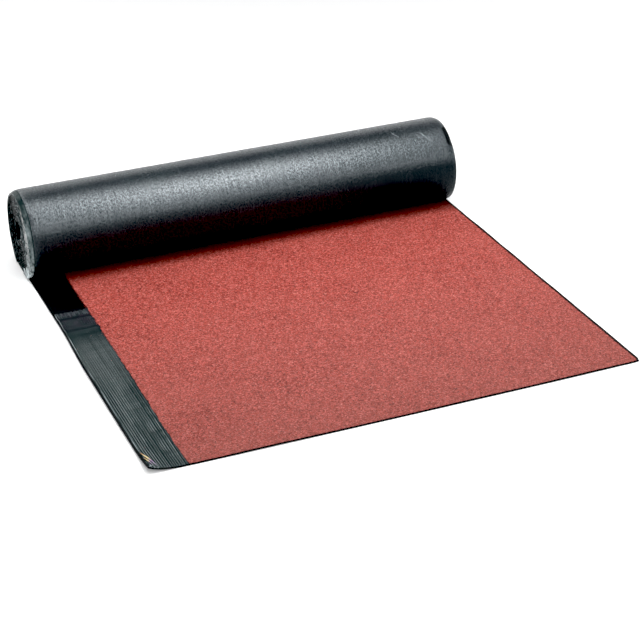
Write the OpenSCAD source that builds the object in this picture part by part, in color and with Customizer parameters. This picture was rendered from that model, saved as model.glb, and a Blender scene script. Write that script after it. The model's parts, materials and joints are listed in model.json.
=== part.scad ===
// Roll of mineral-surfaced roofing felt, partly unrolled on a level floor.
//
// The felt is one continuous sheet. Its free end lies flat with the mineral face up. At the other
// end of that flat length the sheet turns up behind the roll and winds inwards over the top, so
// the smooth underside is outermost and each turn is one thickness further in.
//
// The winding is drawn as half turns, each a true arc that meets the next one smoothly at the top.
// The roll's own weight has flattened its bottom, so every half turn ends in a short flat stretch
// on the floor or on the turns below it. The flattening fades out towards the bore.
//
// Frame: X across the felt, Y from the free end towards the roll, Z up. The origin is on the
// floor under the middle of the bounding box. Sizes are in millimetres.

/* [Sheet] */
// Width of the felt, edge to edge
felt_width = 1000; // [500:10:1200]
// Thickness of the felt, mineral face included
felt_thickness = 4; // [2.5:0.1:6]
// Whole length of the felt, laid and wound
felt_length = 8000; // [4000:100:12000]
// Length that lies flat, from the free end to below the roll's axis
laid_length = 915; // [400:5:1500]

/* [Mineral face] */
// Width of the bare lap strip along the left edge
selvedge_width = 80; // [50:5:150]
// Height of the mineral face above the lap strip
mineral_depth = 1; // [0.4:0.1:1.5]

/* [Roll] */
// Diameter of the bore left by the winding bar
bore_d = 40; // [30:1:80]
// How far the roll has sunk onto its flattened bottom
sag = 9; // [4:0.5:12]
// Width of the gap between turns, seen at the ends
groove_width = 0.5; // [0.3:0.1:1]
// Depth of that gap at each end
groove_depth = 1.5; // [0.5:0.1:4]

/* [Hidden] */

felt_color = [0.09, 0.1, 0.11];
$fn = 180;

// The wound length's section is the coil's section less the bore, which gives the radius of a
// round coil. What the flattening takes from the bottom makes the real one a little larger.
wound_section = (felt_length - laid_length) * felt_thickness;
bore_r = bore_d / 2;
round_r = sqrt(wound_section / PI + pow(bore_r, 2));
flattened_section = 4 / 3 * sag * sqrt(2 * round_r * sag);
coil_r = felt_thickness / 4 + sqrt((wound_section + flattened_section) / PI + pow(bore_r, 2));
axis_y = (laid_length - coil_r) / 2;

// The grooves follow the faces between turns, from the laid sheet in to the last whole turn.
first_groove = 2;
last_groove = floor(2 * (coil_r - bore_r - felt_thickness) / felt_thickness);

// Radius of the outer face of half turn k, counted inwards from the outermost. Even half turns lie
// behind the axis and odd ones in front of it.
function turn_r(k) = coil_r - k * felt_thickness / 2;

// Height of the flat stretch under half turn k: the floor, or the turns below
function turn_floor(k) = ceil(k / 2) * felt_thickness;

// How far half turn k has sunk onto that flat stretch
function turn_sag(k) = sag * (turn_r(2 * floor(k / 2)) - bore_r) / (coil_r - bore_r);

// Height of the centre of half turn k's arc
function turn_z(k) = turn_floor(k) + turn_r(k) - turn_sag(k);

// How far in front of the axis the coil's front comes down onto the laid sheet
nip_z = felt_thickness + groove_width / 2;
nip_reach = groove_width + sqrt(pow(turn_r(1), 2) - pow(turn_z(1) - nip_z, 2));

// Extrudes a section drawn in Y and Z over a stretch of the width
module across(from, to) {
    translate([from, axis_y, 0])
        rotate([90, 0, 90])
            linear_extrude(to - from)
                children();
}

// The side of the axis that half turn k lies on, above the height given
module half_plane(k, from_z) {
    side = k % 2 == 0 ? 0 : -2 * coil_r;
    translate([side, from_z]) square([2 * coil_r, 3 * coil_r]);
}

// What half turn k encloses on its side of the axis, from the height given, and grown by a margin
module half_disc(k, from_z, grown = 0) {
    intersection() {
        translate([0, turn_z(k)]) circle(turn_r(k) + grown);
        half_plane(k, from_z);
    }
}

// The whole coil, up to its outermost turn
module coil_section() {
    half_disc(0, 0);
    half_disc(1, 0);
}

// The laid sheet's section, as high as asked
module laid_section(height) {
    translate([-laid_length, 0]) square([laid_length, height]);
}

// The bore, right through
module bore() {
    overrun = 1;
    translate([-felt_width / 2 - overrun, axis_y, coil_r])
        rotate([0, 90, 0])
            cylinder(r = bore_r, h = felt_width + 2 * overrun);
}

// The groove's section along half turn k: its arc, and the flat stretch below
module groove_section(k) {
    margin = groove_width / 2;
    difference() {
        half_disc(k, turn_floor(k) - margin, margin);
        half_disc(k, turn_floor(k) + margin, -margin);
    }
}

// Where the winding starts: the groove between the coil's flattened front and the laid sheet
module nip_section() {
    translate([-nip_reach, nip_z - groove_width]) square([nip_reach, groove_width]);
}

// The spiral groove of one end
module end_groove(end_x) {
    across(end_x - groove_depth, end_x + groove_depth) {
        nip_section();
        for (k = [first_groove : last_groove]) groove_section(k);
    }
}

// The sheet, laid and wound, with its bare lap strip
module felt_roll() {
    left = -felt_width / 2;
    right = felt_width / 2;
    color(felt_color)
        difference() {
            union() {
                across(left, right) {
                    coil_section();
                    laid_section(felt_thickness - mineral_depth);
                }
                across(left + selvedge_width, right) laid_section(felt_thickness);
            }
            bore();
            end_groove(left);
            end_groove(right);
        }
}

felt_roll();
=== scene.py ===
"""Roll of mineral-surfaced roofing felt, partly unrolled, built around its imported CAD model.

Every piece is described in the sheet's own coordinates: how far across it, how far along it from
the free end, and how high above its underside. place() winds those into the row frame, so that the
body, its mineral face and its films stay together on the floor and through every turn of the roll.
"""

import json
import math
import bpy
import numpy as np
from mathutils import Matrix, Vector


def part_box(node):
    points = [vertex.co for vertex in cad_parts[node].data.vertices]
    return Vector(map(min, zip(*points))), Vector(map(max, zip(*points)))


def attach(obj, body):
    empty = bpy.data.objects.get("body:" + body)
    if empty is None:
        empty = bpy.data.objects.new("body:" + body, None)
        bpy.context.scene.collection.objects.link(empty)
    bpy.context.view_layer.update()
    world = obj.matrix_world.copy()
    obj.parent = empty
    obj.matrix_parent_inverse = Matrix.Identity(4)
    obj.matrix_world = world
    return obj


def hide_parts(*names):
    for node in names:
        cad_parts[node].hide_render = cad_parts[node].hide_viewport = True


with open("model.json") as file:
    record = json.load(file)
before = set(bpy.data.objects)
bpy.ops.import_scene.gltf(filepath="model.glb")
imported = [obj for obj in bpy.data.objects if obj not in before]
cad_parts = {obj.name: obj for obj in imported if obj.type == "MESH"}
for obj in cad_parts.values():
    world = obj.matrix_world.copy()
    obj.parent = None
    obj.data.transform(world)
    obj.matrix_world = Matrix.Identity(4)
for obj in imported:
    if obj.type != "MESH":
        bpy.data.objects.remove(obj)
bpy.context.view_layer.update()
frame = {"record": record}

# ---------------------------------------------------------------- sizes, in metres
THICKNESS = 0.004  # the felt, mineral face included
SELVEDGE = 0.080  # width of the bare lap strip
BODY = 0.0029  # the felt's body, without the mineral face or the strip's film
RIGHT_MARGIN = 0.0065  # bare bitumen along the right edge
MINERAL_TOP = 0.00362  # mean height of the mineral face above the underside
FILM_ROUGHNESS = (0.20, 0.30)  # of the burn-off film, from its smoothest patches to its roughest
FILM_IOR = 1.62

low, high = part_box("felt_roll")
bore = next(m for m in frame["record"]["mounts"] if m["name"] == "bore")
axis_y, coil_r = bore["pos_m"][1], bore["pos_m"][2]
bore_r = bore["dims"]["r_mm"] / 1000
left, right = low.x, high.x
laid_length = axis_y - low.y

# The coil is wound as half turns: even ones behind its axis, odd ones in front of it. The roll has
# sunk onto its flattened bottom, the outer turns furthest.
sag = 2 * coil_r - high.z
half_turns = int(2 * (coil_r - bore_r - THICKNESS) / THICKNESS) + 1
turn_number = np.arange(half_turns)
turn_radius = coil_r - THICKNESS / 2 * turn_number
turn_floor = THICKNESS * np.ceil(turn_number / 2)
turn_sag = sag * (turn_radius[turn_number // 2 * 2] - bore_r) / (coil_r - bore_r)
turn_z = turn_floor + turn_radius - turn_sag
turn_start = laid_length + np.concatenate([[0.0], np.cumsum(math.pi * turn_radius)[:-1]])
felt_end = turn_start[-1] + math.pi * turn_radius[-1]


# ---------------------------------------------------------------- smooth random fields
def hashed(i, j, seed):
    """A fixed random number from 0 to 1 for each pair of whole numbers."""
    i, j = np.broadcast_arrays(np.asarray(i, np.int64), np.asarray(j, np.int64))
    with np.errstate(over="ignore"):  # the products are meant to wrap round at 32 bits
        h = i.astype(np.uint32) * np.uint32(374761393) + j.astype(np.uint32) * np.uint32(668265263)
        h = h + np.uint32(seed * 40503 & 0xFFFFFFFF) * np.uint32(2246822519)
        for multiplier in (2246822519, 3266489917):
            h = (h ^ (h >> np.uint32(15))) * np.uint32(multiplier)
    return (h ^ (h >> np.uint32(16))) / 4294967295.0


def noise(u, v, seed):
    """Smooth noise from -1 to 1, with one wave for each unit of u and v."""
    u, v = np.broadcast_arrays(np.asarray(u, float), np.asarray(v, float))
    i, j = np.floor(u), np.floor(v)
    a, b = u - i, v - j
    a, b = a * a * (3 - 2 * a), b * b * (3 - 2 * b)
    i, j = i.astype(np.int64), j.astype(np.int64)
    near = hashed(i, j, seed) * (1 - a) + hashed(i + 1, j, seed) * a
    far = hashed(i, j + 1, seed) * (1 - a) + hashed(i + 1, j + 1, seed) * a
    return 2 * (near * (1 - b) + far * b) - 1


def rough_noise(u, v, seed):
    """Noise with finer waves added, still about -1 to 1."""
    octaves = 3
    total = sum(noise(u * 2**n, v * 2**n, seed + n) / 2**n for n in range(octaves))
    return total / (2 - 2 ** (1 - octaves))


def smooth(t):
    t = np.clip(t, 0, 1)
    return t * t * (3 - 2 * t)


def bell(distance, width):
    """1 at no distance, fading to 0 beyond the width on both sides."""
    return np.exp(-((distance / width) ** 2))


# ---------------------------------------------------------------- the felt's shape
def settle(across, radius, from_bottom, in_front):
    """How far a turn sinks towards the bore: at both ends, and in front towards the right one."""
    turns_inside = (radius - bore_r) / THICKNESS
    left_end = np.clip((left + 0.022 - across) / 0.022, 0, 1) ** 2
    right_end = np.clip((across - right + 0.014) / 0.014, 0, 1) ** 2
    hanging = smooth(from_bottom / 2.0)
    towards_right = smooth((across - 0.2) / 0.25)
    flattened = in_front * bell(from_bottom - 2.4, 0.35) * towards_right
    per_turn = (0.00030 * left_end + 0.00022 * right_end) * hanging + 0.00010 * flattened
    return per_turn * turns_inside


def left_inset(along):
    """How far the sheet's left edge lies inside the true width."""
    wound = smooth((along - laid_length) / 0.05)
    tucked = smooth((along - 0.40) / 0.22) * (1 - smooth((along - laid_length) / 0.08))
    drift = 0.5 + 0.5 * noise(along / 0.19, 0, 11)
    ragged = 0.5 + 0.5 * rough_noise(along / 0.012, 0, 12)
    return 0.0002 + wound * (0.0011 + 0.0012 * drift) + 0.0005 * ragged + 0.0050 * tucked


def right_inset(along):
    """How far its right edge lies inside the true width, most at the cut corner."""
    wound = smooth((along - laid_length) / 0.05)
    drift = 0.5 + 0.5 * noise(along / 0.23, 0, 21)
    ragged = 0.5 + 0.5 * rough_noise(along / 0.015, 0, 22)
    return 0.0002 + wound * 0.0016 * drift + 0.0004 * ragged + 0.0035 * smooth(1 - along / 0.012)


def edge_shift(across, along):
    """The inset of both side edges, fading in from each."""
    near_left = np.clip(1 - (across - left) / 0.02, 0, 1)
    near_right = np.clip(1 - (right - across) / 0.02, 0, 1)
    return near_left * left_inset(along) - near_right * right_inset(along)


def front_inset(across, along):
    """How far the cut front edge lies behind its furthest point: at its corners, and ragged."""
    bowed = 0.0034 * (np.abs(across) / right) ** 4 * smooth(1 - along / 0.06)
    at_corner = smooth((left + 0.035 - across) / 0.035) * smooth(1 - along / 0.02)
    ragged = 0.5 + 0.5 * rough_noise(across / 0.006, 0, 35)
    return bowed + 0.0026 * at_corner * ragged


def lift(across, along):
    """How far the laid sheet stands off the floor at its edges and corners."""
    laid = smooth((laid_length - 0.06 - along) / 0.15)
    near_left = np.clip(1 - (across - left) / 0.020, 0, 1) ** 2
    near_right = np.clip(1 - (right - across) / 0.015, 0, 1) ** 2
    lip = 0.0024 + 0.0010 * noise(along / 0.07, 0, 31)
    bead = 0.0007 + 0.0006 * noise(along / 0.05, 0, 32)
    from_corner = np.hypot((across - left) / 0.06, along / 0.09)
    curl = 0.0088 * np.clip(1 - from_corner, 0, 1) ** 1.5
    front = 0.0009 * (1 + noise(across / 0.13, 0, 33)) * np.clip(1 - along / 0.05, 0, 1) ** 2
    return laid * (near_left * lip + near_right * bead) + curl + front


def eased(above):
    """Height above the flat stretch below a turn, easing from the arc into the flat."""
    ease = 0.003
    return np.where(above > ease, above, np.clip(above + ease, 0, None) ** 2 / (4 * ease))


def place(across, along, height):
    """Points in the row frame of the sheet's own coordinates."""
    across, along, height = np.broadcast_arrays(
        *(np.asarray(v, float) for v in (across, along, height))
    )
    turn = np.searchsorted(turn_start, along, side="right") - 1
    wound = turn >= 0
    turn = np.maximum(turn, 0)
    angle = (along - turn_start[turn]) / turn_radius[turn]
    behind = turn % 2 == 0
    side = np.where(behind, 1.0, -1.0)
    from_bottom = np.where(behind, angle, math.pi - angle)
    radius = turn_radius[turn] - height - settle(across, turn_radius[turn], from_bottom, ~behind)
    flat = turn_floor[turn] + height
    above = turn_z[turn] - radius * np.cos(from_bottom) - flat
    laid_y = low.y + along + front_inset(across, along)
    y = np.where(wound, axis_y + side * radius * np.sin(angle), laid_y)
    z = np.where(wound, flat + eased(above), height + lift(across, along))
    return np.stack([across + edge_shift(across, along), y, z], -1)


# ---------------------------------------------------------------- mesh helpers
def add_object(name, data):
    obj = bpy.data.objects.new(name, data)
    bpy.context.scene.collection.objects.link(obj)
    return obj


def make_object(name, material, points, faces, sheet, wear_and_painted_light=None, gloss=None, smooth_below=50):
    """A mesh object, shaded smooth where its faces meet at less than smooth_below degrees.

    Its materials read the sheet coordinates, the wear and painted light, and the gloss of each of
    its points."""
    mesh = bpy.data.meshes.new(name)
    mesh.materials.append(material)
    mesh.from_pydata(points.tolist(), [], faces)
    mesh.update()
    mesh.polygons.foreach_set("use_smooth", np.ones(len(mesh.polygons), bool))
    mesh.set_sharp_from_angle(angle=math.radians(smooth_below))
    layer = mesh.attributes.new("sheet", "FLOAT_VECTOR", "POINT")
    layer.data.foreach_set("vector", sheet.astype(np.float32).ravel())
    for label, values in (("wear_and_painted_light", wear_and_painted_light), ("gloss", gloss)):
        if values is not None:
            layer = mesh.attributes.new(label, "FLOAT", "POINT")
            layer.data.foreach_set("value", np.asarray(values, np.float32))
    return add_object(name, mesh)


def bake_map(obj):
    """Lays out a map named OFBake for baking the laid face into: the sheet seen from above."""
    mesh = obj.data
    corner = np.zeros(len(mesh.loops), np.int32)
    mesh.loops.foreach_get("vertex_index", corner)
    sheet = np.zeros(len(mesh.vertices) * 3, np.float32)
    mesh.attributes["sheet"].data.foreach_get("vector", sheet)
    at = sheet.reshape(-1, 3)[corner]
    layer = mesh.uv_layers.new(name="OFBake")
    spread = np.stack([(at[:, 0] - left) / (right - left), at[:, 1] / laid_length], -1)
    layer.uv.foreach_set("vector", spread.astype(np.float32).ravel())


def grid_faces(rows, cols):
    """Quads over a grid of vertices numbered row by row."""
    a = (np.arange(rows - 1)[:, None] * cols + np.arange(cols - 1)[None]).ravel()
    return np.stack([a, a + 1, a + cols + 1, a + cols], -1).tolist()


def ring_faces(first, size, count):
    """Quads between rings of vertices: count rings of the given size, numbered from first."""
    ring = np.arange(size)
    ahead = np.roll(ring, -1)
    faces = []
    for row in range(count - 1):
        a = first + row * size
        quads = np.stack([a + ring, a + ahead, a + size + ahead, a + size + ring], -1)
        faces += quads[:, ::-1].tolist()
    return faces


def ring_at(along, across, height):
    """One station's points in sheet coordinates."""
    return np.stack([across, np.full_like(across, along), height], -1)


def loft(stations, section):
    """A closed strip along the felt with the same section at each station.

    section(along) gives the section's points as two arrays, across and height, going round it
    anticlockwise seen from the free end. Returns sheet coordinates and faces, both ends capped."""
    rings = [ring_at(along, *section(along)) for along in stations]
    size = len(rings[0])
    faces = ring_faces(0, size, len(rings))
    ring = np.arange(size)
    faces.append(ring.tolist())
    faces.append(((len(rings) - 1) * size + ring[::-1]).tolist())
    return np.concatenate(rings), faces


def placed(sheet):
    return place(*sheet[:, :3].T)


def coil_stations(first_half, last_half, steps):
    """Stations along some half turns of the coil, with as many steps in each."""
    found = [
        turn_start[k] + math.pi * turn_radius[k] * np.arange(steps) / steps
        for k in range(first_half, last_half)
    ]
    return np.concatenate(found)


# ---------------------------------------------------------------- materials
def felt_material(name):
    """A material for the felt, its tree, and the sheet coordinates and the wear and painted light
    that it reads.
    """
    material = bpy.data.materials.new(name)
    material.use_nodes = True
    tree = material.node_tree
    return material, tree, attribute(tree, "sheet", "Vector"), attribute(tree, "wear_and_painted_light")


def feed(tree, socket, value):
    """Sets an input to a value, or links it to another node's output."""
    if isinstance(value, bpy.types.NodeSocket):
        tree.links.new(value, socket)
    else:
        socket.default_value = value


def finished(material, **inputs):
    """The material, with its shader's inputs fed. Their names have _ for a space."""
    tree = material.node_tree
    shader = tree.nodes["Principled BSDF"]
    for name, value in inputs.items():
        feed(tree, shader.inputs[name.replace("_", " ")], value)
    return material


def node(tree, kind, **settings):
    """A node, with its settings, and a value or link for each input named or, as i0, numbered."""
    made = tree.nodes.new(kind)
    for key, value in settings.items():
        if hasattr(made, key):
            setattr(made, key, value)
        else:
            feed(tree, made.inputs[int(key[1:]) if key[1:].isdigit() else key], value)
    return made


def attribute(tree, name, output="Fac"):
    return node(tree, "ShaderNodeAttribute", attribute_name=name).outputs[output]


def stretched(tree, vector, scale):
    """The vector with each part scaled."""
    return node(tree, "ShaderNodeVectorMath", operation="MULTIPLY", i0=vector, i1=scale).outputs[0]


def noise_at(tree, vector, scale, detail, roughness):
    kind = "ShaderNodeTexNoise"
    made = node(tree, kind, Vector=vector, Scale=scale, Detail=detail, Roughness=roughness)
    return made.outputs["Fac"]


def streaky(tree, sheet, waves, detail, roughness):
    """Noise with its own number of waves a metre across and along the sheet."""
    return noise_at(tree, stretched(tree, sheet, (*waves, 0)), 1.0, detail, roughness)


def remap(tree, value, low_in, high_in, low_out, high_out):
    made = node(tree, "ShaderNodeMapRange", i0=value, i1=low_in, i2=high_in, i3=low_out, i4=high_out)
    return made.outputs[0]


def maths(tree, operation, a, b):
    return node(tree, "ShaderNodeMath", operation=operation, i0=a, i1=b).outputs[0]


def product(tree, a, b):
    return maths(tree, "MULTIPLY", a, b)


def added(tree, a, b):
    return maths(tree, "ADD", a, b)


def mixed(tree, fac, a, b):
    """Two colours mixed, each a tuple or a socket."""
    made = node(tree, "ShaderNodeMix", data_type="RGBA")
    for index, value in ((0, fac), (6, a), (7, b)):
        feed(tree, made.inputs[index], value)
    return made.outputs[2]


def rgb(red, green, blue):
    return (red, green, blue, 1.0)


def colour_ramp(tree, value, *stops):
    """A colour for each value from 0 to 1, from stops whose positions start at 0 and end at 1."""
    ramp = node(tree, "ShaderNodeValToRGB", i0=value)
    elements = ramp.color_ramp.elements
    elements[0].color, elements[1].color = stops[0][1], stops[-1][1]
    for position, colour in stops[1:-1]:
        elements.new(position).color = colour
    return ramp.outputs[0]


def bump(tree, height, distance, strength, normal=None):
    made = node(tree, "ShaderNodeBump", Height=height, Distance=distance, Strength=strength)
    if normal is not None:
        tree.links.new(normal, made.inputs["Normal"])
    return made.outputs["Normal"]


CREASE_WIDTH = 0.0044
CREASES = (  # across, how far past the top, how far it slants for each metre, length
    (0.441, 0.055, 0.62, 0.040),
    (0.424, 0.050, 0.50, 0.022),
    (0.451, 0.064, 0.40, 0.030),
    (0.372, 0.034, 0.75, 0.018),
)


def creases(tree, sheet):
    """Short slanting creases in the film near the roll's right end: 1 on each, 0 elsewhere."""
    parts = node(tree, "ShaderNodeSeparateXYZ", i0=sheet)
    total = None
    for across, past_top, slant, length in CREASES:
        beyond = maths(tree, "SUBTRACT", parts.outputs[1], turn_start[1] + past_top)
        aside = maths(tree, "SUBTRACT", parts.outputs[0], across)
        aside = maths(tree, "SUBTRACT", aside, product(tree, beyond, slant))
        near = remap(tree, maths(tree, "ABSOLUTE", aside, 0.0), 0.0, CREASE_WIDTH / 2, 1.0, 0.0)
        beyond = maths(tree, "ABSOLUTE", beyond, 0.0)
        within = remap(tree, beyond, 0.3 * length, 0.5 * length, 1.0, 0.0)
        one = product(tree, near, within)
        total = one if total is None else added(tree, total, one)
    return total


def film_material():
    """Black burn-off film over bitumen: satin, grained like leather, with faint bands round it."""
    material, tree, sheet, wear_and_painted_light = felt_material("burn_off_film")
    streaks = streaky(tree, sheet, (120, 10), 3, 0.6)
    crinkle = streaky(tree, sheet, (270, 195), 3, 0.7)
    peel = streaky(tree, sheet, (560, 430), 2, 0.6)
    patches = streaky(tree, sheet, (14, 9), 3, 0.6)
    worn = product(tree, wear_and_painted_light, remap(tree, crinkle, 0.35, 0.7, 0.2, 1.0))
    dark = mixed(tree, patches, rgb(0.0062, 0.0098, 0.0118), rgb(0.0110, 0.0162, 0.0190))
    colour = mixed(tree, worn, dark, rgb(0.060, 0.066, 0.068))
    roughness = remap(tree, patches, 0.3, 0.7, *FILM_ROUGHNESS)
    roughness = added(tree, roughness, product(tree, worn, 0.2))
    pits = remap(tree, crinkle, 0.37, 0.60, 0.30, 0.75)
    shine = product(tree, pits, remap(tree, streaks, 0.3, 0.7, 0.82, 1.16))
    # On the roll the gloss carries a painted highlight on its brow and painted shade on its
    # reflections low down and behind.
    shine = product(tree, shine, attribute(tree, "gloss"))
    creased = creases(tree, sheet)
    # Extra shine along the creases: a painted highlight on top of their bump.
    shine = added(tree, shine, product(tree, creased, 0.25))
    normal = bump(tree, streaks, 0.0009, 0.5)
    normal = bump(tree, crinkle, 0.00084, 0.9, normal)
    normal = bump(tree, peel, 0.00036, 0.9, normal)
    normal = bump(tree, creased, 0.0009, 0.8, normal)
    return finished(
        material,
        Base_Color=colour,
        Roughness=roughness,
        Specular_IOR_Level=shine,
        Specular_Tint=rgb(0.89, 0.96, 1.0),
        IOR=FILM_IOR,
        Normal=normal,
    )


def bitumen_material():
    """Bare bitumen at the cut edges: nearly black, matt and crumbled, with a little dust."""
    material, tree, sheet, wear_and_painted_light = felt_material("bare_bitumen")
    crumbs = noise_at(tree, sheet, 900.0, 3, 0.65)
    dust = noise_at(tree, sheet, 210.0, 3, 0.6)
    dust_and_sheen = product(tree, remap(tree, dust, 0.40, 0.66, 0.05, 0.8), wear_and_painted_light)
    dark = mixed(tree, crumbs, rgb(0.003, 0.0032, 0.0036), rgb(0.012, 0.0132, 0.0142))
    colour = mixed(tree, dust_and_sheen, dark, rgb(0.16, 0.19, 0.20))
    roughness = remap(tree, crumbs, 0.3, 0.7, 0.42, 0.7)
    normal = bump(tree, dust, 0.0012, 0.6)
    normal = bump(tree, crumbs, 0.0006, 0.8, normal)
    return finished(
        material, Base_Color=colour, Roughness=roughness, Specular_IOR_Level=0.10, Normal=normal
    )


def mineral_material():
    """Red crushed slate: each granule its own red, some dark, some pale; greyed towards the free end
    by a painted sheen, and darkened next to the roll by a painted shadow.
    """
    material, tree, sheet, painted_shadow = felt_material("red_granules")
    flat = stretched(tree, sheet, (1, 1, 0))
    granules = node(tree, "ShaderNodeTexVoronoi", Vector=flat, Scale=520.0, Randomness=1.0)
    shade = node(tree, "ShaderNodeSeparateColor", i0=granules.outputs["Color"])
    cells = node(tree, "ShaderNodeTexVoronoi", Vector=flat, Scale=350.0, Randomness=1.0)
    cell = node(tree, "ShaderNodeSeparateColor", i0=cells.outputs["Color"])
    patches = noise_at(tree, flat, 120.0, 2, 0.6)
    clumps = product(tree, cell.outputs[0], 0.75)
    clumps = added(tree, clumps, product(tree, patches, 0.35))
    drift = noise_at(tree, flat, 7.0, 3, 0.55)
    colour = colour_ramp(
        tree,
        shade.outputs[0],
        (0.0, rgb(0.070, 0.0165, 0.014)),
        (0.12, rgb(0.125, 0.023, 0.019)),
        (0.30, rgb(0.26, 0.042, 0.033)),
        (0.68, rgb(0.365, 0.063, 0.050)),
        (0.92, rgb(0.46, 0.11, 0.088)),
        (1.0, rgb(0.56, 0.22, 0.185)),
    )
    dark_cells = remap(tree, clumps, 0.36, 0.86, 0.0, 0.58)
    colour = mixed(tree, dark_cells, colour, rgb(0.095, 0.0158, 0.0140))
    pale_cells = remap(tree, cell.outputs[1], 0.70, 0.97, 0.0, 0.45)
    colour = mixed(tree, pale_cells, colour, rgb(0.60, 0.178, 0.157))
    colour = mixed(tree, remap(tree, drift, 0.35, 0.65, 0.0, 0.12), colour, rgb(0.42, 0.11, 0.088))
    along = node(tree, "ShaderNodeSeparateXYZ", i0=sheet).outputs[1]
    # Painted sheen: the granules turn greyer towards the free end.
    dust_and_sheen = remap(tree, along, 0.0, 0.68, 0.34, 0.0)
    colour = mixed(tree, dust_and_sheen, colour, rgb(0.095, 0.062, 0.055))
    # Painted shadow: the granules darken towards the roll, standing in for the shade under it.
    colour = mixed(tree, painted_shadow, colour, rgb(0.030, 0.0062, 0.0058))
    roughness = remap(tree, shade.outputs[1], 0, 1, 0.62, 0.95)
    lumps = remap(tree, granules.outputs["Distance"], 0.0, 0.75, 1.0, 0.0)
    lumps = added(tree, lumps, product(tree, shade.outputs[2], 0.8))
    lumps = added(tree, lumps, remap(tree, clumps, 0.36, 0.86, 0.4, 0.0))
    normal = bump(tree, lumps, 0.0008, 0.9)
    return finished(
        material, Base_Color=colour, Roughness=roughness, Specular_IOR_Level=0.22, Normal=normal
    )


def lap_film_material():
    """The lap strip's thin film: dark grey-green with draw lines, duller where it is wrinkled."""
    material, tree, sheet, wear_and_painted_light = felt_material("lap_film")
    lines = streaky(tree, sheet, (130, 1.6), 1, 0.5)
    cross = streaky(tree, sheet, (12, 60), 2, 0.55)
    grain = streaky(tree, sheet, (700, 700), 2, 0.6)
    dark = mixed(tree, cross, rgb(0.0075, 0.0126, 0.0132), rgb(0.0148, 0.0246, 0.0252))
    dulled = mixed(tree, cross, rgb(0.0180, 0.0170, 0.0215), rgb(0.0300, 0.0290, 0.0355))
    along = node(tree, "ShaderNodeSeparateXYZ", i0=sheet).outputs[1]
    rises = remap(tree, along, 0.575, 0.615, 0.0, 1.0)
    falls = remap(tree, along, 0.688, 0.716, 1.0, 0.0)
    mottle = noise_at(tree, sheet, 85.0, 3, 0.7)
    dull = product(tree, rises, falls)
    dull = product(tree, dull, remap(tree, mottle, 0.38, 0.60, 0.25, 0.95))
    dark = mixed(tree, dull, dark, dulled)
    # Paler where worn or torn, and where a painted sheen or highlight lies on the left end and the
    # lip's crest.
    colour = mixed(tree, wear_and_painted_light, dark, rgb(0.47, 0.53, 0.55))
    roughness = remap(tree, cross, 0.3, 0.7, 0.15, 0.25)
    roughness = added(tree, roughness, product(tree, wear_and_painted_light, 0.25))
    gloss = attribute(tree, "gloss")
    lined = product(tree, remap(tree, lines, 0.32, 0.60, 0.80, 1.12), gloss)
    normal = bump(tree, lines, 0.00030, 0.5)
    normal = bump(tree, grain, 0.00003, 0.4, normal)
    return finished(
        material,
        Base_Color=colour,
        Roughness=roughness,
        Specular_IOR_Level=lined,
        Specular_Tint=rgb(0.84, 1.0, 0.99),
        IOR=1.58,
        Normal=normal,
    )


def peeled_material():
    """Film peeled up at the torn corner, coloured with a painted iridescent sheen that runs brown,
    straw and violet along each sliver.
    """
    material, tree, sheet, wear_and_painted_light = felt_material("peeled_film")
    ripples = streaky(tree, sheet, (500, 260), 2, 0.6)
    # Painted sheen: the ramp runs along each sliver in place of the film's iridescent highlights.
    colour = colour_ramp(
        tree,
        wear_and_painted_light,
        (0.0, rgb(0.16, 0.060, 0.020)),
        (0.25, rgb(0.30, 0.19, 0.07)),
        (0.50, rgb(0.46, 0.37, 0.17)),
        (0.72, rgb(0.17, 0.10, 0.21)),
        (1.0, rgb(0.17, 0.18, 0.20)),
    )
    normal = bump(tree, ripples, 0.0004, 0.7)
    return finished(material, Base_Color=colour, Roughness=0.28, Normal=normal)


# ---------------------------------------------------------------- the felt's body
# Columns across the felt, close together where an edge, the strip's border or a rim shows
FINE_COLUMNS = np.concatenate(
    [
        left + np.array([0, 0.0006, 0.002, 0.0045, 0.0084, 0.0092, 0.0125, 0.017, 0.023]),
        np.arange(left + 0.030, left + SELVEDGE + 0.021, 0.010),
        np.arange(left + SELVEDGE + 0.040, right - 0.030, 0.025),
        right - np.array([0, 0.0006, 0.002, 0.004, RIGHT_MARGIN, 0.009, 0.014, 0.022]),
    ]
)
FINE_COLUMNS = np.unique(np.round(FINE_COLUMNS, 6))


def is_coarse(x):
    near_left = x - left < 0.0045 or abs(x - left - 0.017) < 1e-5
    near_right = right - x < 0.0045 or abs(right - x - 0.014) < 1e-5
    return near_left or near_right or abs(x - left - SELVEDGE) < 1e-5 or abs(x) < 0.013


COARSE_COLUMNS = np.array([x for x in FINE_COLUMNS if is_coarse(x)])
SIDE_HEIGHTS = np.array([0.0007, 0.0015, 0.0022])  # points up each cut side edge
UNDERSIDE_BELOW = 0.0006  # every point of the film-covered underside is lower than this


def body_top(across):
    """Height of the body's upper face, with a bead of bitumen along the right edge."""
    bead = smooth((across - (right - RIGHT_MARGIN)) / 0.0015)
    roll_off = smooth((right - across) / 0.0012)
    return BODY - 0.0003 * (1 - roll_off) + bead * roll_off * 0.00075


def body_section(columns, along):
    """The body's outline round its section: underside, right edge, upper face, left edge."""
    film_step = np.where(columns < left + 0.0088, 0.00022, 0.0)
    rim = 0.0003 * (1 - smooth(np.minimum(columns - left, right - columns) / 0.0012))
    under = film_step + rim
    crumble = 0.00035 * rough_noise(along / 0.004, np.arange(3) * 0.7, 41)
    right_edge = right - 0.0002 + np.minimum(crumble, 0.0001)
    left_edge = left + 0.0002 - np.minimum(crumble[::-1], 0.0001)
    across = np.concatenate([columns, right_edge, columns[::-1], left_edge])
    height = np.concatenate([under, SIDE_HEIGHTS, body_top(columns)[::-1], SIDE_HEIGHTS[::-1]])
    return across, height


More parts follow.
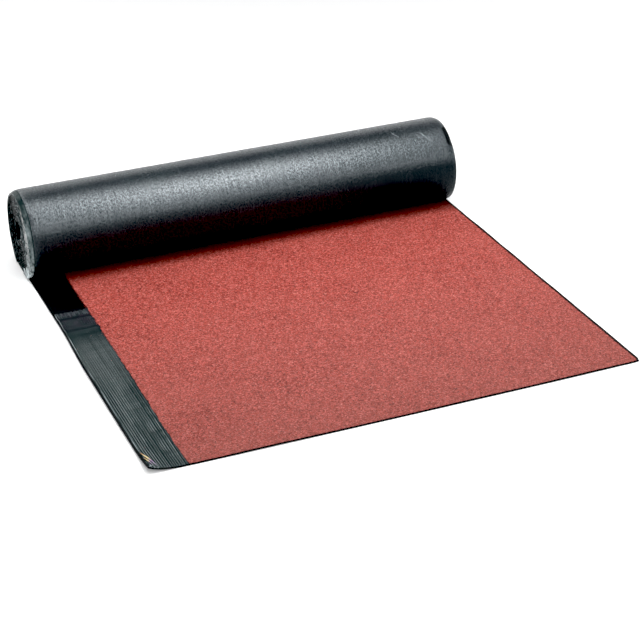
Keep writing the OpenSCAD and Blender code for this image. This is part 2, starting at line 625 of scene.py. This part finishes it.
def outer_relief(sheet):
    """Shallow dents and creases on the outside of the wound felt, always into the sheet."""
    across, along = sheet[:, 0], sheet[:, 1]
    wound = smooth((along - laid_length) / 0.03)
    dents = 0.5 + 0.5 * rough_noise(across / 0.11, along / 0.09, 51)
    bands = 0.5 + 0.5 * noise(across / 0.021, along / 0.30, 52)
    return wound * (0.00035 * dents + 0.00012 * bands)


def painted_highlight_gloss(across, along):
    """How strongly the burn-off film reflects: raised on the roll's brow as a painted highlight, and
    lowered low in front, low at the right and behind as painted shade on its reflections.
    """
    past_top = (along - turn_start[1]) / turn_radius[1]
    brow = bell(past_top - 0.80, 0.26) * bell(across, 0.32)
    low_front = smooth((past_top - 1.20) / 0.22)
    low_right = smooth((past_top - 1.12) / 0.22) * smooth((across - 0.08) / 0.36)
    behind = smooth((-0.16 - past_top) / 0.2)
    return 1.06 + 0.28 * brow - 0.44 * low_front - 0.42 * low_right - 0.4 * behind


def felt_body():
    """The whole sheet in one closed strip: laid flat, then wound in to the bore."""
    front_edge = [0, 0.0006, 0.0018, 0.004, 0.008]
    laid = np.arange(0.014, laid_length - 0.004, 0.012)
    fine = np.concatenate([front_edge, laid, coil_stations(0, 3, 72)])
    coarse = np.concatenate([coil_stations(3, half_turns, 30), [felt_end]])
    kept = np.isin(FINE_COLUMNS, COARSE_COLUMNS)
    sides = np.ones(len(SIDE_HEIGHTS), bool)
    kept_ring = np.flatnonzero(np.concatenate([kept, sides, kept[::-1], sides]))

    rings = [ring_at(along, *body_section(FINE_COLUMNS, along)) for along in fine]
    small = [ring_at(along, *body_section(COARSE_COLUMNS, along)) for along in coarse]
    size, small_size = len(rings[0]), len(small[0])
    sheet = np.concatenate(rings + small)
    faces = ring_faces(0, size, len(rings))
    last, first_small = (len(rings) - 1) * size, len(rings) * size
    for i in range(small_size):
        start, stop = kept_ring[i], kept_ring[(i + 1) % small_size]
        between = np.arange(start, stop + 1 if stop > start else size + stop + 1) % size
        step = [first_small + (i + 1) % small_size, first_small + i]
        faces.append((last + between).tolist()[::-1] + step[::-1])
    faces += ring_faces(first_small, small_size, len(small))
    faces += capped(len(FINE_COLUMNS), 0, False)
    faces += capped(len(COARSE_COLUMNS), len(sheet) - small_size, True)

    underside = sheet[:, 2] < UNDERSIDE_BELOW
    shaped = sheet.copy()
    shaped[:, 2] += np.where(underside, outer_relief(sheet), 0)
    points = placed(shaped)
    from_edge = np.minimum(sheet[:, 0] - left, right - sheet[:, 0])
    rims = smooth(1 - from_edge / 0.004) * smooth((sheet[:, 1] - laid_length) / 0.03)
    at_right = np.where(sheet[:, 1] > turn_start[2], 0.90, 0.15)  # dustier inside the outermost turn
    rims = rims * np.where(sheet[:, 0] > 0, at_right, 0.35)
    scuffs = 0.55 + 0.45 * rough_noise(sheet[:, 1] / 0.03, from_edge / 0.01, 61)
    wear_and_painted_light = np.clip(rims * scuffs, 0, 1)
    # Gloss over the roll: a painted highlight on the brow, painted shade on the reflections
    # elsewhere.
    gloss = painted_highlight_gloss(sheet[:, 0], sheet[:, 1])
    obj = make_object("felt_body", film_material(), points, faces, sheet, wear_and_painted_light, gloss)
    obj.data.materials.append(bitumen_material())
    bare_edges(obj, sheet)
    return obj


def capped(count, start, flip):
    """Faces over one end of the body: quads between its two faces, and a face at each side."""
    sides = len(SIDE_HEIGHTS)
    size = 2 * count + 2 * sides
    under = start + np.arange(count)
    upper = start + count + sides + np.arange(count)[::-1]
    faces = np.stack([under[:-1], under[1:], upper[1:], upper[:-1]], -1).tolist()
    faces.append(list(range(start + count - 1, start + count + sides + 1)))
    faces.append([*range(start + size - sides - 1, start + size), start])
    return [f[::-1] for f in faces] if flip else faces


def bare_edges(obj, sheet):
    """Bare bitumen wherever no film covers the body: its upper face, cut edges and worn rim."""
    for polygon in obj.data.polygons:
        points = sheet[list(polygon.vertices)]
        across, along = points.mean(0)[:2]
        at_side = np.ptp(points[:, 0]) < 0.0005 and np.ptp(points[:, 2]) > 0.0003
        if at_side or points[:, 2].max() > UNDERSIDE_BELOW:
            polygon.material_index = 1
        elif along > laid_length and right - across < 0.017:
            worn = rough_noise(along / 0.026, across / 0.010, 62)
            past_top = (along - turn_start[1]) / turn_radius[1]
            upper_front = bell(past_top - 0.65, 0.35)
            polygon.material_index = int(worn + 0.75 * upper_front > 0.22 + 38 * (right - across))


# ---------------------------------------------------------------- the mineral face
def border(along):
    """Where the mineral face begins beside the lap strip, with its ragged edge."""
    wander = 0.0010 * noise(along / 0.16, 0, 71) - 0.0045 * smooth((0.40 - along) / 0.30)
    ragged = 0.0016 * rough_noise(along / 0.007, 0, 72)
    bitten = 0.0013 * noise(along / 0.018, 0, 74)
    return left + SELVEDGE + wander + ragged + bitten


def mineral_right(along):
    ragged = 0.0009 * rough_noise(along / 0.008, 0, 73)
    return right - RIGHT_MARGIN + ragged


NIP_END = laid_length - 0.010  # where the laid mineral face hands over to the wound one
NIP_SHADOW_START = 0.062  # how far in front of the axis the painted shadow on the granules begins to fade


def nip_shadow(across, along):
    """How much painted shadow darkens the granules just in front of the roll, where the roll shades
    them.
    """
    fades_over = 0.050
    from_roll = laid_length - NIP_SHADOW_START - along
    from_roll = from_roll + 0.004 * rough_noise(across / 0.05, along / 0.05, 75)
    return 0.72 * smooth(1 - from_roll / fades_over)


def mineral_laid(material):
    """The laid mineral face: a closed slab with a lumpy top."""
    rows, cols = 300, 296
    along = np.linspace(0.0014, NIP_END, rows)[:, None] + np.zeros(cols)
    share = np.linspace(0, 1, cols)[None, :] + np.zeros((rows, 1))
    i, j = np.indices((rows, cols))
    inside = (i > 0) & (i < rows - 1)
    along = along + inside * 0.0016 * (hashed(i, j, 81) - 0.5)
    across = border(along) * (1 - share) + mineral_right(along) * share
    inside = (j > 0) & (j < cols - 1)
    across = across + inside * 0.0016 * (hashed(i, j, 82) - 0.5)
    lumps = 0.55 * (hashed(i, j, 83) - 0.5) + 0.45 * noise(across / 0.007, along / 0.007, 84)
    height = MINERAL_TOP + 0.00042 * lumps
    edge = (i == 0) | (j == 0) | (j == cols - 1) | (i == rows - 1)
    height = np.where(edge, 0.0033, height)
    top = np.stack([across, along, height], -1).reshape(-1, 3)
    faces = grid_faces(rows, cols)
    index = np.arange(rows * cols).reshape(rows, cols)
    loop = np.concatenate([index[0, :-1], index[:-1, -1], index[-1, :0:-1], index[:0:-1, 0]])
    skirt = top[loop].copy()
    skirt[:, 2] = BODY - 0.0004
    ring = rows * cols + np.arange(len(loop))
    faces += np.stack([loop, ring, np.roll(ring, -1), np.roll(loop, -1)], -1).tolist()
    faces.append(ring[::-1].tolist())
    sheet = np.concatenate([top, skirt])
    # Painted shadow on the granules just in front of the roll.
    wear_and_painted_light = nip_shadow(sheet[:, 0], sheet[:, 1])
    name = "mineral_face_laid"
    obj = make_object(name, material, placed(sheet), faces, sheet, wear_and_painted_light, smooth_below=80)
    bake_map(obj)
    return obj


def mineral_wound(material):
    """The mineral face through the coil, which shows in the bore."""
    columns = np.array([0.0, 0.012, 0.2, 0.5, 0.8, 0.97, 1.0])

    def section(along):
        across = border(along) * (1 - columns) + mineral_right(along) * columns
        lumpy = MINERAL_TOP + 0.00012 * rough_noise(across / 0.006, along / 0.006, 91)
        under = np.full_like(across, BODY - 0.0004)
        return np.concatenate([across, across[::-1]]), np.concatenate([under, lumpy])

    stations = np.concatenate([[NIP_END], coil_stations(0, half_turns, 40), [felt_end - 0.001]])
    sheet, faces = loft(stations, section)
    return make_object("mineral_face_wound", material, placed(sheet), faces, sheet)


def loose_granules(material):
    """Single granules standing on the face, and strays along its borders."""
    draw = np.random.default_rng(7)

    def scatter(count, across, along, height, size):
        sizes = draw.uniform(*size, count)
        return np.stack([across(count), along(count), height(count), sizes], -1)

    def over(low_value, high_value):
        return lambda n: draw.uniform(low_value, high_value, n)

    laid_run = over(0.004, laid_length - 0.03)
    face = over(left + SELVEDGE + 0.002, right - RIGHT_MARGIN - 0.001)
    bare_strip = over(left + 0.01, left + SELVEDGE - 0.003)

    def beside_border(n):
        return left + SELVEDGE - np.abs(draw.normal(0, 0.0016, n)) + 0.001

    def beside_right(n):
        return right - RIGHT_MARGIN + np.abs(draw.normal(0, 0.0012, n)) - 0.0006

    groups = [
        scatter(9500, face, laid_run, over(0.0036, 0.0038), (0.0004, 0.0008)),
        scatter(1500, beside_border, laid_run, over(0.0031, 0.0034), (0.00035, 0.0007)),
        scatter(900, beside_right, laid_run, over(0.0034, 0.0038), (0.00035, 0.0007)),
        scatter(50, bare_strip, laid_run, over(0.0031, 0.0032), (0.0003, 0.0006)),
    ]
    spots = np.concatenate(groups)
    corners = np.array([[1, 0, 0], [0, 1, 0], [-1, 0, 0], [0, -1, 0], [0, 0, 1], [0, 0, -1]], float)
    sides = [(0, 1, 4), (1, 2, 4), (2, 3, 4), (3, 0, 4), (1, 0, 5), (2, 1, 5), (3, 2, 5), (0, 3, 5)]
    turn = draw.uniform(0, 2 * math.pi, len(spots))
    cos, sin = np.cos(turn), np.sin(turn)
    shapes = corners[None] * draw.uniform(0.6, 1.15, (len(spots), 6, 1)) * spots[:, 3][:, None, None]
    x = shapes[..., 0] * cos[:, None] - shapes[..., 1] * sin[:, None]
    y = shapes[..., 0] * sin[:, None] + shapes[..., 1] * cos[:, None]
    centres = placed(spots)
    points = centres[:, None, :] + np.stack([x, y, shapes[..., 2] * 0.7], -1)
    faces = (np.arange(len(spots))[:, None, None] * 6 + np.array(sides)[None]).reshape(-1, 3)
    sheet = np.repeat(spots[:, None, :3], 6, 1).reshape(-1, 3)
    # The loose granules near the roll get the same painted shadow as the face under them.
    wear_and_painted_light = nip_shadow(sheet[:, 0], sheet[:, 1])
    points, faces = points.reshape(-1, 3), faces.tolist()
    return make_object("loose_granules", material, points, faces, sheet, wear_and_painted_light, smooth_below=20)


# ---------------------------------------------------------------- the lap strip's film
RIBS = 16  # fine ribs along the lap strip
RIB_CENTRES = left + SELVEDGE * (np.arange(RIBS) + 1.9) / (RIBS + 1.3)
FILM = 0.00012  # the lap film's thickness
LIP = 0.0062  # how far the lip's crest lies from the left edge
FILM_EDGE = 0.0046  # where the laid film starts, outside the lip
FILM_END = 0.683  # where it is torn off, along the felt
WRINKLES = (  # crest along the felt, length of its rise, length of its fall, height
    (0.592, 0.030, 0.014, 0.0010),
    (0.644, 0.028, 0.012, 0.0020),
    (0.688, 0.028, 0.020, 0.0021),
)


def near_corner(across, along):
    """From 0 to 1 towards the torn front-left corner."""
    return np.clip(1 - np.hypot((across - left) / 0.030, along / 0.042), 0, 1)


def ribs_at(across, along):
    """The strip's ribs, from 0 between them to about 1 on a crest, fading towards the roll."""
    front = 0.30 + 0.70 * smooth((0.50 - along) / 0.28)
    total = np.zeros_like(across)
    for rib in range(RIBS):
        centre = RIB_CENTRES[rib] + 0.0006 * (hashed(rib, 0, 101) - 0.5)
        centre = centre + 0.0004 * noise(along / 0.25, rib * 3.1, 102)
        strength = 0.75 + 0.25 * hashed(rib, 1, 103) + 0.2 * noise(along / 0.12, rib * 5.7, 104)
        total = total + strength * bell(across - centre, 0.0009)
    return front * total


def rib_height(across, along):
    """Height of the film's ribs, of the lip at its left edge, and of its torn corner."""
    lip = bell(across - (left + LIP), 0.0011)
    lip = lip * (0.75 + 0.25 * noise(along / 0.05, 0, 105))
    puckers = 0.5 + 0.5 * noise(across / 0.03, along / 0.045, 106)
    crumpled = 0.5 + 0.5 * rough_noise(across / 0.004, along / 0.005, 107)
    crumpled = near_corner(across, along) * crumpled
    ribs = ribs_at(across, along)
    return 0.00060 * ribs + 0.00060 * lip + 0.00014 * puckers + 0.0016 * crumpled


def wrinkles(across, along):
    """The film's slack near its torn end: ridges across it that rise slowly and drop sharply."""
    total = 0 * along
    for crest, rise, fall, height in WRINKLES:
        at = crest + 0.006 * rough_noise(across / 0.035, crest * 90, 108)
        rising = smooth((along - at + rise) / rise)
        falling = 1 - smooth((along - at) / fall)
        total = total + height * rising * falling
    return total


def strip_gloss(across, along):
    """The film's gloss: low between its ribs, in draw lines, along its border and in creases."""
    front = 0.35 + 0.65 * smooth((0.50 - along) / 0.22)
    dull = 0.5 + 0.5 * noise(across / 0.018, along / 0.22, 114)
    between = 1 - smooth(ribs_at(across, along) / (0.75 * front))
    lost = 0.22 + 0.44 * between * (0.75 + 0.25 * dull)
    gloss = 0.55 - front * lost + 0.55 * front * (1 - between)
    for at, width, depth in ((0.0106, 0.0013, 0.6), (0.0455, 0.0013, 0.8), (0.0640, 0.0009, 0.5)):
        broken = np.clip(0.75 + 0.6 * noise(along / 0.09, at * 900, 115), 0, 1)
        gloss = gloss * (1 - depth * broken * bell(across - left - at, width))
    to_border = border(along) - across
    ragged = np.clip(0.8 + 0.7 * rough_noise(along / 0.012, 0, 116), 0, 1)
    gloss = gloss * (1 - 0.9 * ragged * bell(to_border, 0.0040))
    creased = smooth((along - 0.570) / 0.02)
    blotches = np.clip(0.35 + 1.3 * rough_noise(across / 0.022, along / 0.016, 117), 0, 1)
    fringe = smooth((along - FILM_END + 0.022) / 0.008)
    return gloss * (1 - 0.75 * creased * blotches * (1 - fringe)) * (1 - 0.45 * fringe)


def lap_film(material):
    """The laid film: a thin closed skin, ribbed lengthwise, torn at its corner and its far end."""
    offsets = np.array([-0.0016, -0.0009, -0.0003, 0.0003, 0.0009, 0.0016])
    columns = (RIB_CENTRES[:, None] + offsets[None]).ravel()
    last = SELVEDGE - 0.0008
    columns = np.concatenate([columns, left + np.array([FILM_EDGE, 0.0054, LIP, 0.0070, last])])
    columns = columns[(columns >= left + FILM_EDGE) & (columns <= left + last)]
    columns = np.unique(np.round(columns, 6))
    stations = np.concatenate(
        [
            [0.0005, 0.0015],
            np.arange(0.003, 0.050, 0.0024),
            np.arange(0.051, 0.550, 0.0060),
            np.arange(0.552, FILM_END, 0.0026),
        ]
    )

    def section(along):
        ragged = 0.0007 * rough_noise(along / 0.008, 0.0, 109)
        stretch = (border(along) - left - SELVEDGE + last + ragged) / last
        across = left + (columns - left) * stretch
        station = np.full_like(across, along)
        slack = wrinkles(across, station)
        top = BODY + FILM + rib_height(across, station) + slack
        edge = smooth((columns - columns[0]) / 0.0008) * smooth((columns[-1] - columns) / 0.0010)
        top = top - 0.0001 * (1 - edge)
        under = BODY - 0.00015 + slack
        return np.concatenate([across, across[::-1]]), np.concatenate([under, top[::-1]])

    sheet, faces = loft(stations, section)
    across, along = sheet[:, 0], sheet[:, 1]
    torn_off = 0.007 * (0.5 + 0.5 * rough_noise(across / 0.003, 0, 110))
    along = along - torn_off * smooth((along - FILM_END + 0.030) / 0.030)
    sheet[:, 1] = along
    # A pale line along the lip's crest: the film's paler edge, with a painted highlight on it.
    crest = bell(across - (left + LIP), 0.0007)
    crest = crest * np.clip(0.35 + 0.9 * rough_noise(along / 0.05, 0, 111), 0, 1)
    torn = np.clip(1.6 * rough_noise(across / 0.003, along / 0.004, 112), 0, 1)
    torn = torn * near_corner(across, along)
    streaked = np.clip(rough_noise(across / 0.003, along / 0.03, 113), 0, 1)
    streaked = 0.14 * streaked * smooth((along - FILM_END + 0.030) / 0.012)
    wear_and_painted_light = np.clip(crest + torn + streaked, 0, 1)
    gloss = strip_gloss(across, along)
    return make_object("lap_film", material, placed(sheet), faces, sheet, wear_and_painted_light, gloss, 60)


def peeled_film(material):
    """Slivers of film peeled up at the torn corner, each an arched ribbon."""
    slivers = (
        # starts at (across, along), ends at (across, along), rise, width
        ((0.0060, 0.074), (0.0200, 0.008), 0.0042, 0.0024),
        ((0.0058, 0.050), (0.0135, 0.012), 0.0026, 0.0018),
    )
    steps, thickness = 22, 0.00018
    points, faces, sheen_positions = [], [], []
    for start, stop, rise, width in slivers:
        share = np.linspace(0, 1, steps)
        middle_x = left + start[0] + (stop[0] - start[0]) * share ** 1.6
        middle_y = start[1] + (stop[1] - start[1]) * share
        height = 0.0036 + rise * np.sin(math.pi * share) ** 0.8
        half = 0.5 * width * (0.25 + 0.75 * np.sin(math.pi * np.clip(share, 0.05, 0.95)))
        first = sum(len(p) for p in points)
        corners = [
            np.stack([middle_x + side * half, middle_y, height + 0.6 * side * half + above], -1)
            for side, above in ((-1, 0), (1, 0), (1, thickness), (-1, thickness))
        ]
        points.append(np.stack(corners, 1).reshape(-1, 3))
        sheen_positions.append(np.repeat(share, 4))
        faces += [face[::-1] for face in ring_faces(first, 4, steps)]
        end = first + 4 * (steps - 1)
        faces += [[first + 3, first + 2, first + 1, first], [end, end + 1, end + 2, end + 3]]
    sheet = np.concatenate(points)
    # Each point's place along its sliver, which sets its painted sheen colour.
    wear_and_painted_light = np.concatenate(sheen_positions)
    points = placed(sheet)
    return make_object("peeled_film", material, points, faces, sheet, wear_and_painted_light, smooth_below=60)


def wound_film(material):
    """The same film between the wound turns, crinkled where it sticks out of the left end."""
    reach = np.array([0.030, 0.012, 0.0045, 0.0018, 0.0006, 0.0])

    def section(along):
        edge = 1 - smooth(reach / 0.010)
        wave = 0.5 + 0.5 * rough_noise(along / 0.007, reach / 0.006, 121)
        out = 0.0010 * (0.5 + 0.5 * noise(along / 0.009, 0, 122)) * (1 - smooth(reach / 0.0012))
        folded = 0.0030 * np.clip(rough_noise(along / 0.010, 0, 124), 0, 1) * (reach < 0.0003)
        under = BODY + 0.00008 + edge * 0.00062 * wave + folded
        top = under + 0.0001
        across = left + reach - out
        return np.concatenate([across, across[::-1]]), np.concatenate([under, top[::-1]])

    stations = coil_stations(0, half_turns, 100)
    sheet, faces = loft(stations, section)
    at_edge = 1 - smooth((sheet[:, 0] - left) / 0.004)
    points = placed(sheet)
    # The film's edges on the left end face turn lighter towards the roll's front, a painted sheen,
    # with crinkled flecks over it.
    to_front = smooth((axis_y - 0.015 - points[:, 1]) / 0.035)
    flecks = rough_noise(sheet[:, 1] / 0.009, sheet[:, 0] / 0.002, 123)
    wear_and_painted_light = np.clip(0.10 * to_front + 2.0 * (flecks - 0.16), 0, 1) * at_edge
    gloss = np.full(len(sheet), 0.30)
    faces = [face[::-1] for face in faces]
    return make_object("wound_film", material, points, faces, sheet, 0.6 * wear_and_painted_light, gloss, 70)


def rim_film(material):
    """The outermost turn's film, folded over the roll's left rim and crumpled onto its end face."""
    start, stop = turn_start[0] + 0.052, turn_start[2] - 0.012
    stations = np.linspace(start, stop, 420)
    share = np.linspace(0, 1, 22)

    def section(along):
        down = np.clip((along - turn_start[1]) / (turn_start[2] - turn_start[1]), 0, 1)
        wide = smooth((down - 0.08) / 0.30) * (1 - 0.5 * smooth((down - 0.72) / 0.25))
        depth = (0.0055 + 0.0340 * wide) * (0.72 + 0.28 * rough_noise(along / 0.018, 0.0, 131))
        outside = np.clip(1 - share / 0.35, 0, 1)
        corner = smooth((share - 0.26) / 0.14)
        onto_face = np.clip((share - 0.36) / 0.64, 0, 1)
        crinkle = rough_noise(along / 0.0055, share * 6.0, 132)
        standing = 0.0017 * (0.5 + 0.5 * crinkle) * smooth(onto_face * 8)
        face_x = left + 0.0002 + standing - left_inset(along)
        side_x = left + 0.0006 + (0.0096 + 0.0006 * noise(along / 0.05, 0.0, 133)) * outside
        across = side_x * (1 - corner) + face_x * corner
        step = 0.0005 * smooth((1 - outside) * 6) * (1 - corner)
        height = onto_face * depth - step
        height = height + 0.00035 * crinkle * smooth((1 - outside) * 3)
        inner = height + np.where(share > 0, 0.00022, 0.00012)
        inner_across = across + 0.00018
        return np.concatenate([across, inner_across[::-1]]), np.concatenate([height, inner[::-1]])

    sheet, faces = loft(stations, section)
    down = np.clip((sheet[:, 1] - turn_start[1]) / (turn_start[2] - turn_start[1]), 0, 1)
    # Painted sheen: the film over the left rim turns pale towards the roll's lower front, where it
    # catches the light; flecks break it up.
    pale = 0.10 * smooth((down - 0.16) / 0.16) + 0.42 * smooth((down - 0.55) / 0.30)
    flecks = rough_noise(sheet[:, 1] / 0.009, sheet[:, 0] / 0.0045 + sheet[:, 2] / 0.007, 134)
    at_seam = smooth((sheet[:, 0] - left - 0.0078) / 0.0010) * (sheet[:, 2] < 0.001)
    on_face = smooth((sheet[:, 2] - 0.002) / 0.003)
    pale = pale * (1 - 0.35 * on_face * (1 - smooth((down - 0.60) / 0.25)))
    wear_and_painted_light = np.clip(pale * (1 + 2.4 * flecks), 0, 1) * (1 - at_seam)
    gloss = (0.14 + 0.26 * smooth((down - 0.12) / 0.2)) * (1 - at_seam) * (1 - 0.8 * on_face)
    return make_object("rim_film", material, placed(sheet), faces, sheet, wear_and_painted_light, gloss)


# ---------------------------------------------------------------- stage
BLACK_LEVEL = 0.026  # light this dim shows as black


def build_camera():
    """The camera, from where it stands and which way it looks."""
    yaw, pitch, roll = math.radians(21.271), math.radians(26.997), math.radians(-1.776)
    forward = math.cos(pitch)
    ahead = Vector((math.sin(yaw) * forward, math.cos(yaw) * forward, -math.sin(pitch)))
    level = Vector((math.cos(yaw), -math.sin(yaw), 0))
    upright = level.cross(ahead)
    across = math.cos(roll) * level + math.sin(roll) * upright
    up = -math.sin(roll) * level + math.cos(roll) * upright
    data = bpy.data.cameras.new("camera")
    data.sensor_width, data.lens = 36.0, 106.07
    camera = add_object("camera", data)
    turn = Matrix((across, up, -ahead)).transposed().to_4x4()
    camera.matrix_world = Matrix.Translation((-1.2442, axis_y - 3.6836, 1.7500)) @ turn
    bpy.context.scene.camera = camera


def soft_box(name, centre, target, width, height, radiance):
    """A rectangular soft light facing target. radiance is what a mirror would show of it."""
    data = bpy.data.lights.new(name, "AREA")
    data.shape, data.size, data.size_y = "RECTANGLE", width, height
    data.energy = radiance * math.pi * width * height
    light = add_object(name, data)
    light.location = centre
    light.rotation_euler = (Vector(target) - Vector(centre)).to_track_quat("-Z", "Y").to_euler()
    light.visible_camera = False


def build_floor():
    mesh = bpy.data.meshes.new("floor")
    reach = 9.0
    corners = [(-reach, -reach, 0), (reach, -reach, 0), (reach, reach, 0), (-reach, reach, 0)]
    mesh.from_pydata(corners, [], [(0, 1, 2, 3)])
    material = bpy.data.materials.new("pale_floor")
    material.use_nodes = True
    pale = rgb(0.93, 0.93, 0.93)
    finished(material, Base_Color=pale, Roughness=0.9, Specular_IOR_Level=0.2)
    mesh.materials.append(material)
    floor = add_object("floor", mesh)


def build_lights():
    """Soft boxes over the felt, and pale walls of light round a plain studio."""
    world = bpy.data.worlds.new("world")
    bpy.context.scene.world = world
    world.use_nodes = True
    background = world.node_tree.nodes["Background"]
    background.inputs["Color"].default_value = rgb(0.96, 0.98, 1.0)
    background.inputs["Strength"].default_value = 0.15
    above = 1.5
    overhead = (  # x, y, width, depth, radiance
        ("key", 0.40, -0.40, 1.1, 0.8, 7.4),
        ("key_tail", 0.40, -1.20, 1.1, 0.8, 2.0),
        ("over_roll", 0.35, 0.20, 1.2, 0.4, 6.6),
        ("behind_roll", 0.35, 0.60, 1.2, 0.4, 2.2),
        ("left_fill", -0.80, 0.40, 1.0, 0.8, 4.9),
        ("rear_left", -0.80, 1.90, 1.0, 1.0, 2.8),
        ("rear_right", 2.10, 1.60, 1.0, 1.2, 1.7),
        ("far_floor", 0.5, 3.3, 7.0, 1.0, 0.22),
    )
    for name, x, y, width, depth, radiance in overhead:
        soft_box(name, (x, y, above), (x, y, 0), width, depth, radiance)
    soft_box("front_ceiling", (0.3, -4.5, 3.6), (0.3, 0, 0), 7.0, 1.2, 3.9)
    soft_box("front_wall", (0.3, -5.0, 2.3), (0.3, 0, 2.3), 7.0, 1.4, 2.3)
    soft_box("back_wall", (0.3, 3.5, 1.5), (0.3, 0, 1.5), 6.0, 1.0, 1.35)
    soft_box("back_wall_foot", (0.3, 3.5, 0.5), (0.3, 0, 0.5), 6.0, 1.0, 0.7)
    soft_box("left_wall", (-3.2, -0.3, 1.0), (0, -0.3, 1.0), 5.0, 2.0, 2.8)
    soft_box("right_wall", (3.2, -0.3, 1.0), (0, -0.3, 1.0), 5.0, 2.0, 1.2)


def build_view():
    """A plain view with a little contrast: what is nearly black in the studio comes out black."""
    view = bpy.context.scene.view_settings
    view.view_transform = "Standard"
    view.use_curve_mapping = True
    view.curve_mapping.black_level = (BLACK_LEVEL,) * 3
    view.curve_mapping.update()


# ---------------------------------------------------------------- assembly
def ride(obj):
    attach(obj, "root")


body = felt_body()
ride(body)
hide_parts("felt_roll")

red_granules = mineral_material()
for build in (mineral_laid, mineral_wound, loose_granules):
    ride(build(red_granules))

thin_film = lap_film_material()
for build in (lap_film, wound_film, rim_film):
    ride(build(thin_film))
ride(peeled_film(peeled_material()))

build_floor()
build_lights()
build_camera()
build_view()
